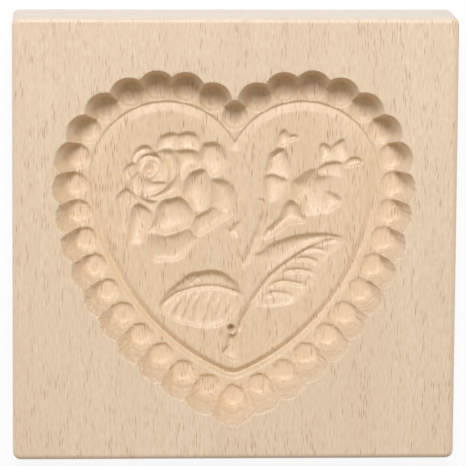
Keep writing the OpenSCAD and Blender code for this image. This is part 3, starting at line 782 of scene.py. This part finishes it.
def beech_material(s, tints):
    """Pale beech with its grain along Y.

    Bands, streaks, grain and flecks lie over each other. Painted shade darkens and warms the wood down in
    the hollows and on walls that face right, away from the lamp; painted light lightens walls that face left
    or right. Walls that face up or down the heart are end grain, in a painted shaded copy where they face
    down and a painted lit copy where they face up. A painted reflection greys the upper and lower ends of
    the block.
    """
    material = bpy.data.materials.new("beech")
    n = Nodes(material)
    place = n.add("ShaderNodeTexCoord", {}).outputs["Object"]
    at = n.parts(place)
    facing = n.parts(n.add("ShaderNodeNewGeometry", {}).outputs["Normal"])
    # Heights between which the stronger flecks and the painted shade of a hollow pass into the look of the
    # face
    low, high = (s.block_t - s.field_d + 1) * MM, (s.block_t - 0.5) * MM
    fine = n.noise(place, *GRAIN)
    wood = n.mix(n.ramp(n.noise(place, *BANDS), 0.3, 0.7), tints.deep, tints.pale)
    wood = n.mix(n.ramp(n.noise(place, *STREAKS), 0.3, 0.75, to_high=0.5), wood, tints.streak)
    wood = n.mix(n.ramp(fine, 0.3, 0.75, to_high=0.8), wood, tints.grain)
    keys = {"Vector": n.scaled(place, FLECK_CELLS, FLECK_SLANT), "Scale": 1.0}
    fleck = n.add("ShaderNodeTexVoronoi", keys, feature="F1").outputs["Distance"]
    patch = n.ramp(n.noise(place, *PATCHES), 0.43, 0.6)
    mark = n.maths("MULTIPLY", n.ramp(fleck, 0.1, 0.4, to_low=1, to_high=0), patch)
    strength = n.ramp(at["Z"], low, high, to_low=0.95, to_high=0.75)
    wood = n.mix(n.maths("MULTIPLY", mark, strength), wood, tints.fleck)
    # Painted shade: darker, warmer wood down in the hollows, fading out towards the face
    wood = n.mix(n.ramp(at["Z"], low, high, to_low=1, to_high=0), wood, tints.hollow, "MULTIPLY")
    # Painted light: walls that face left or right are lightened
    side = n.ramp(n.maths("ABSOLUTE", facing["X"]), 0.3, 0.9, to_high=0.5)
    wood = n.mix(side, wood, tints.side)
    # Painted shade: walls that face right, away from the lamp, are darkened to a warmer brown
    right = n.ramp(facing["X"], 0.15, 0.6, to_high=0.6)
    right_wall_shade = n.maths("MULTIPLY", right, n.ramp(facing["Y"], -0.15, 0.2))
    wood = n.mix(right_wall_shade, wood, tints.right_wall_shade)
    # End grain on walls that face up or down, with thin layers in it; a painted shaded copy darkens and
    # warms it where it faces down the heart, away from the lamp, and a painted lit copy greys it where it
    # faces up to it
    end = n.ramp(n.maths("ABSOLUTE", facing["Y"]), 0.4, 0.9)
    tint = n.mix(n.ramp(facing["Y"], -0.3, 0.3), tints.end_grain_shaded, tints.end_grain_lit)
    share = n.ramp(facing["Y"], -0.3, 0.3, to_low=0.6, to_high=0.25)
    wood = n.mix(n.maths("MULTIPLY", end, share), wood, tint)
    layer = n.ramp(n.noise(place, *LAYERS), 0.4, 0.7)
    wood = n.mix(n.maths("MULTIPLY", layer, n.ramp(end, 0, 1, to_high=0.45)), wood, tints.layer)
    # Painted reflection of the white surroundings on the upper and lower ends of the block, from 1.1 mm
    # inside its edge
    edge = s.block_h / 2
    ends_reflection = n.ramp(n.maths("ABSOLUTE", at["Y"]), (edge - 1.1) * MM, (edge + 0.1) * MM)
    wood = n.mix(n.maths("MULTIPLY", ends_reflection, 0.8), wood, tints.ends_reflection)
    rough = n.ramp(fine, 0.3, 0.7, to_low=0.42, to_high=0.55)
    keys = {"Height": n.maths("SUBTRACT", fine, mark), "Strength": 0.25, "Distance": 0.1 * MM}
    bump = n.add("ShaderNodeBump", keys).outputs[0]
    keys = {"Base Color": wood, "Roughness": rough, "Normal": bump, "Specular IOR Level": 0.5,
            "Sheen Weight": 0.3, "Sheen Roughness": 0.35}
    n.add("ShaderNodeOutputMaterial", {0: n.add("ShaderNodeBsdfPrincipled", keys).outputs[0]})
    return material


def floor_material():
    """Pale floor: mostly plain white where it is seen, with a share of the pale surface under it that
    keeps the object's shadow."""
    material = bpy.data.materials.new("floor")
    n = Nodes(material)
    pale = n.add("ShaderNodeBsdfDiffuse", {"Color": (0.9, 0.9, 0.9)}).outputs[0]
    white = n.add("ShaderNodeEmission", {"Color": (1, 1, 1), "Strength": 1.0}).outputs[0]
    rays = n.add("ShaderNodeLightPath", {}).outputs
    through = n.maths("MAXIMUM", rays["Is Glossy Ray"], rays["Is Transmission Ray"])
    seen = n.maths("MAXIMUM", rays["Is Camera Ray"], through)
    mixed = n.add("ShaderNodeMixShader", {0: n.maths("MULTIPLY", seen, FLOOR_WHITE), 1: pale, 2: white})
    n.add("ShaderNodeOutputMaterial", {0: mixed.outputs[0]})
    return material


def add_floor(s):
    """Square floor round the part's origin, a little below the flat back."""
    half, level = s.floor_w / 2 * MM, -FLOOR_DROP * MM
    mesh = bpy.data.meshes.new("floor")
    corners = [(-half, -half, level), (half, -half, level), (half, half, level), (-half, half, level)]
    mesh.from_pydata(corners, [], [(0, 1, 2, 3)])
    mesh.materials.append(floor_material())
    floor = bpy.data.objects.new("floor", mesh)
    bpy.context.scene.collection.objects.link(floor)


def add_light(s):
    """Square soft lamp that faces the part's origin, and even light from all round."""
    lamp = bpy.data.lights.new("key", "AREA")
    lamp.size = s.lamp_w * MM
    lamp.energy = s.key
    lamp.color = s.key_colour
    holder = bpy.data.objects.new("key", lamp)
    holder.location = (s.lamp_x * MM, s.lamp_y * MM, s.lamp_z * MM)
    holder.rotation_euler = holder.location.to_track_quat("Z", "Y").to_euler()
    bpy.context.scene.collection.objects.link(holder)
    world = bpy.data.worlds.new("studio")
    bpy.context.scene.world = world
    n = Nodes(world)
    back = n.add("ShaderNodeBackground", {"Color": s.fill_colour, "Strength": s.fill})
    n.add("ShaderNodeOutputWorld", {0: back.outputs[0]})


def add_camera(s):
    """Camera at the photograph's viewing angle: looking straight down, rolled about its own axis, then
    turned about Y and about X."""
    camera = bpy.data.cameras.new("camera")
    camera.lens = s.lens
    camera.sensor_width = 36
    camera.clip_end = 20
    holder = bpy.data.objects.new("camera", camera)
    holder.location = (s.side * MM, s.rise * MM, s.distance * MM)
    turn = (Matrix.Rotation(-s.pitch, 3, "X") @ Matrix.Rotation(-s.yaw, 3, "Y")
            @ Matrix.Rotation(-s.roll, 3, "Z"))
    holder.rotation_euler = turn.to_euler()
    bpy.context.scene.collection.objects.link(holder)
    bpy.context.scene.camera = holder


class MOULD_OT_block(bpy.types.Operator):
    """Builds the carved block"""

    bl_idname = "mould.block"
    bl_label = "Carved block"

    def execute(self, context):
        s = values(context.scene.mould_sizes)
        points, faces, cap = block_mesh(s)
        mesh = make_mesh("carved_block", points, faces, cap)
        piece = bpy.data.objects.new("carved_block", mesh)
        context.scene.collection.objects.link(piece)
        mesh.materials.append(beech_material(s, context.scene.mould_colours))
        lighter = piece.modifiers.new("Lighter", "DECIMATE")
        lighter.ratio = min(1.0, MOST_TRIANGLES / (2 * len(faces)))
        even = piece.modifiers.new("Even", "WEIGHTED_NORMAL")
        even.mode = "FACE_AREA"
        even.weight = 100
        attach(piece, "root")
        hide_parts("mould_block")
        return {"FINISHED"}


class MOULD_OT_stage(bpy.types.Operator):
    """Builds the floor, the soft light and the camera"""

    bl_idname = "mould.stage"
    bl_label = "Stage"

    def execute(self, context):
        s = values(context.scene.mould_stage)
        add_floor(s)
        add_light(s)
        add_camera(s)
        context.scene.view_settings.view_transform = "Standard"
        return {"FINISHED"}


class MOULD_PT_panel(bpy.types.Panel):
    """Lists the two operators and the sizes and colours that they use"""

    bl_label = "Cookie Mould"
    bl_idname = "MOULD_PT_panel"
    bl_space_type = "VIEW_3D"
    bl_region_type = "UI"
    bl_category = "Mould"

    def draw(self, context):
        layout = self.layout
        layout.operator("mould.block")
        layout.operator("mould.stage")
        scene = context.scene
        for group in (scene.mould_sizes, scene.mould_colours, scene.mould_stage):
            column = layout.column()
            for name in names(group):
                column.prop(group, name)


CLASSES = (MouldSizes, MouldColours, StageSizes, MOULD_OT_block, MOULD_OT_stage, MOULD_PT_panel)


def register():
    """Registers the classes and hangs the sizes and colours on the scene."""
    for cls in CLASSES:
        bpy.utils.register_class(cls)
    bpy.types.Scene.mould_sizes = PointerProperty(type=MouldSizes)
    bpy.types.Scene.mould_colours = PointerProperty(type=MouldColours)
    bpy.types.Scene.mould_stage = PointerProperty(type=StageSizes)


def unregister():
    """Takes away what register adds, in the opposite order."""
    del bpy.types.Scene.mould_stage
    del bpy.types.Scene.mould_colours
    del bpy.types.Scene.mould_sizes
    for cls in reversed(CLASSES):
        bpy.utils.unregister_class(cls)


def main():
    """Builds the block and the stage."""
    register()
    bpy.ops.mould.block()
    bpy.ops.mould.stage()


if __name__ == "__main__":
    main()
